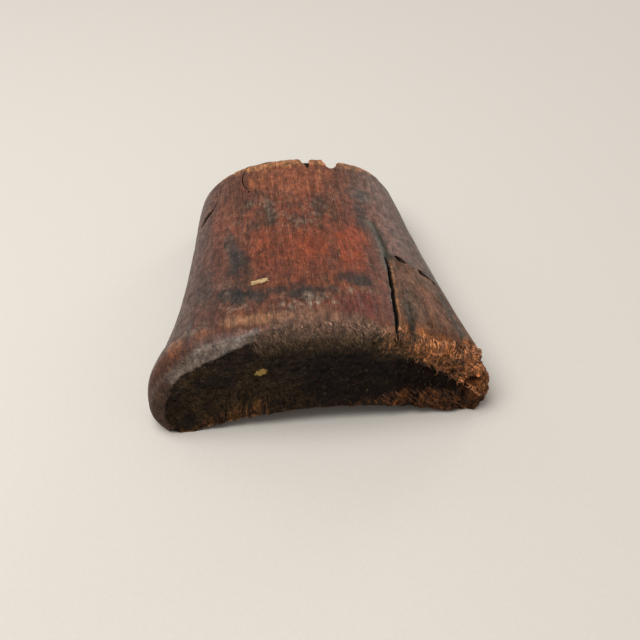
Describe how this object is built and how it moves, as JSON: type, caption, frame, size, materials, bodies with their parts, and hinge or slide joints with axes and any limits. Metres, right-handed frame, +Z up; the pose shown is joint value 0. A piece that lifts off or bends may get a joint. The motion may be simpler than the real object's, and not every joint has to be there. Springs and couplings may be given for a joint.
{
  "type": "leatherworker's thigh block",
  "caption": "Half-cone block of carved old hardwood with a flared crescent front, a hollowed underside and one front corner made of a separate piece of wood.",
  "frame": {"origin": "middle of the bounding box in plan, on the surface that the two rails stand on", "axes": "+X across the block towards the corner piece, +Y along the grain from the flared front end to the narrow rear end, +Z up"},
  "size_m": [0.1999, 0.196, 0.0681],
  "materials": {
    "patinated_wood": "hand-worn red-brown patina, satin on the back and near black on the front end grain",
    "corner_wood": "matte olive to orange brown, torn and fibrous at the front end",
    "bare_wood": "pale cream bare wood"
  },
  "bodies": {
    "root": {"carved_block": "patinated_wood", "corner_piece": "corner_wood", "pale_sliver": "bare_wood"}
  },
  "joints": []
}
